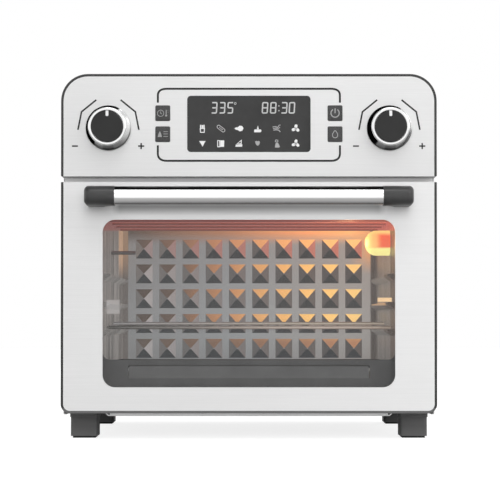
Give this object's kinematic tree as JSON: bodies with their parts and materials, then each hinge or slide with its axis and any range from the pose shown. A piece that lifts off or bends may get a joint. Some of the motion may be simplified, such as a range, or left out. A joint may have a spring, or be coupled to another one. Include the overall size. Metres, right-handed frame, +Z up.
{
  "type": "air fryer oven",
  "caption": "Countertop air fryer oven with a drop-down glass door, wire rack, crumb tray, two knobs, push keys and a top convection fan.",
  "frame": {"origin": "on the worktop, under the middle of the whole object's bounding box", "axes": "+Z up, -Y out of the door, +X to the right of someone facing the door"},
  "size_m": [0.392, 0.388, 0.3816],
  "materials": {
    "brushed_steel": "fine horizontal brushing",
    "polished_metal": "polished",
    "black_plastic": "satin moulded",
    "black_rubber": "matt",
    "smoked_glass": "smoked, gloss",
    "clear_glass": "clear, gloss",
    "lit_glass": "lit amber lamp glass",
    "glowing_rod": "sheathed rod, glowing dull red",
    "cavity_grey": "dark grey enamel",
    "cavity_steel": "aluminised sheet",
    "wire_chrome": "bright plated wire",
    "zinc_steel": "zinc-plated sheet",
    "fan_aluminium": "pressed",
    "motor_iron": "laminated",
    "white_ceramic": "unglazed",
    "circuit_board": "coated board"
  },
  "bodies": {
    "housing": {"base_pan": "zinc_steel", "cavity_back": "cavity_steel", "cavity_ceiling": "cavity_steel", "cavity_floor": "cavity_grey", "cavity_side_left": "cavity_steel", "cavity_side_right": "cavity_steel", "control_fascia": "brushed_steel", "control_trim": "black_plastic", "cord_gland": "black_plastic", "display_board": "circuit_board", "display_window": "smoked_glass", "door_seal": "black_rubber", "door_switch": "black_plastic", "encoders": "zinc_steel", "fan_chamber": "zinc_steel", "fan_motor": "motor_iron", "foot_front_left": "black_plastic", "foot_front_right": "black_plastic", "foot_pads": "black_rubber", "foot_rear_left": "black_plastic", "foot_rear_right": "black_plastic", "front_frame": "cavity_grey", "heater_sockets": "white_ceramic", "hinge_ears": "zinc_steel", "hinge_pins": "zinc_steel", "housing_wrap": "brushed_steel", "lamp_glass": "lit_glass", "lamp_socket": "white_ceramic", "lower_heaters": "glowing_rod", "motor_bracket": "zinc_steel", "power_board": "circuit_board", "rear_panel": "zinc_steel", "rear_screws": "zinc_steel", "rear_spacers": "black_plastic", "temperature_probe": "zinc_steel", "upper_heaters": "glowing_rod"},
    "door": {"door_skin": "brushed_steel", "door_trim": "black_plastic", "outer_glass": "clear_glass", "inner_glass": "clear_glass", "door_inner_frame": "cavity_grey", "handle_bar": "polished_metal", "handle_end_left": "black_plastic", "handle_end_right": "black_plastic", "handle_screws": "zinc_steel", "hinge_leaves": "zinc_steel"},
    "rack": {"wire_rack": "wire_chrome"},
    "tray": {"crumb_tray": "cavity_grey"},
    "left_knob": {"knob_left": "polished_metal", "knob_face_left": "black_plastic"},
    "right_knob": {"knob_right": "polished_metal", "knob_face_right": "black_plastic"},
    "mode_key": {"button_mode": "black_plastic"},
    "preheat_key": {"button_preheat": "black_plastic"},
    "power_key": {"button_power": "black_plastic"},
    "lamp_key": {"button_lamp": "black_plastic"},
    "fan": {"convection_fan": "fan_aluminium", "fan_shaft": "zinc_steel", "cooling_fan": "fan_aluminium"}
  },
  "joints": [
    {"name": "door_hinge", "type": "hinge", "parent": "housing", "child": "door", "pos_m": [0, -0.138, 0.036], "axis": [1, 0, 0], "range_deg": [0, 82], "stiffness_Nm_per_rad": 0.5, "springref_deg": -51.57},
    {"name": "rack_slide", "type": "slide", "parent": "housing", "child": "rack", "axis": [0, -1, 0], "range_m": [0, 0.08]},
    {"name": "tray_slide", "type": "slide", "parent": "housing", "child": "tray", "axis": [0, -1, 0], "range_m": [0, 0.03]},
    {"name": "left_knob_turn", "type": "hinge", "parent": "housing", "child": "left_knob", "pos_m": [-0.1466, -0.152, 0.325], "axis": [0, -1, 0], "continuous": true},
    {"name": "right_knob_turn", "type": "hinge", "parent": "housing", "child": "right_knob", "pos_m": [0.1466, -0.152, 0.325], "axis": [0, -1, 0], "continuous": true},
    {"name": "mode_press", "type": "slide", "parent": "housing", "child": "mode_key", "axis": [0, 1, 0], "range_m": [0, 0.0008], "stiffness_N_per_m": 1500},
    {"name": "preheat_press", "type": "slide", "parent": "housing", "child": "preheat_key", "axis": [0, 1, 0], "range_m": [0, 0.0008], "stiffness_N_per_m": 1500},
    {"name": "power_press", "type": "slide", "parent": "housing", "child": "power_key", "axis": [0, 1, 0], "range_m": [0, 0.0008], "stiffness_N_per_m": 1500},
    {"name": "lamp_press", "type": "slide", "parent": "housing", "child": "lamp_key", "axis": [0, 1, 0], "range_m": [0, 0.0008], "stiffness_N_per_m": 1500},
    {"name": "fan_spin", "type": "hinge", "parent": "housing", "child": "fan", "pos_m": [0, 0.02, 0.25], "axis": [0, 0, 1], "continuous": true}
  ],
  "couplings": [
    {"joint": "rack_slide", "follows": "door_hinge", "m_per_rad": 0.055},
    {"joint": "tray_slide", "follows": "door_hinge", "m_per_rad": 0.02}
  ]
}
